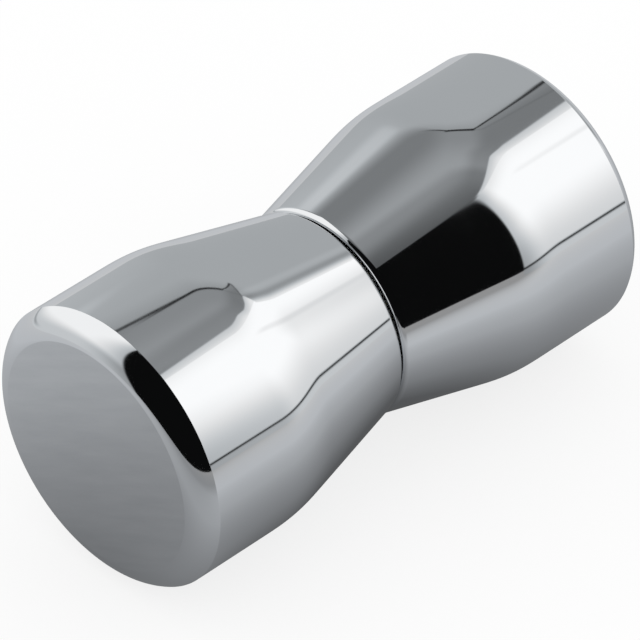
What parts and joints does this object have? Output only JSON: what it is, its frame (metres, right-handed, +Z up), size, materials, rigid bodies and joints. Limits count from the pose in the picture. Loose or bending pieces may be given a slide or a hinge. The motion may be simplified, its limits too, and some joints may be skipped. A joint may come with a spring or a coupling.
{
  "type": "shower door handle",
  "caption": "Pair of turned chrome knobs, back to back on a threaded stud, that clamp through a hole in a glass shower door; the rear knob unscrews to open the clamp.",
  "frame": {"origin": "middle of the seam between the two knobs' bases, on their common axis, which is the middle plane of the glass when the clamp is closed on nothing", "axes": "+Y along the knobs' common axis, from the front knob to the rear knob, square to the glass; +Z up the glass and +X to the right, seen from the front knob's end"},
  "size_m": [0.03, 0.0606, 0.03],
  "materials": {
    "polished_chrome": "polished",
    "stud_steel": "satin",
    "sleeve_nylon": "satin",
    "washer_vinyl": "gloss"
  },
  "bodies": {
    "front": {"front_knob": "polished_chrome", "threaded_stud": "stud_steel", "glass_sleeve": "sleeve_nylon", "front_washer": "washer_vinyl"},
    "carriage": {"rear_washer": "washer_vinyl"},
    "rear": {"rear_knob": "polished_chrome"}
  },
  "joints": [
    {"name": "clamp_travel", "type": "slide", "parent": "front", "child": "carriage", "axis": [0, 1, 0], "range_m": [0, 0.012]},
    {"name": "rear_knob_turn", "type": "hinge", "parent": "carriage", "child": "rear", "pos_m": [0, 0, 0], "axis": [0, 1, 0], "range_deg": [0, 3456]}
  ],
  "couplings": [
    {"joint": "rear_knob_turn", "follows": "clamp_travel", "rad_per_m": 5026.5}
  ]
}
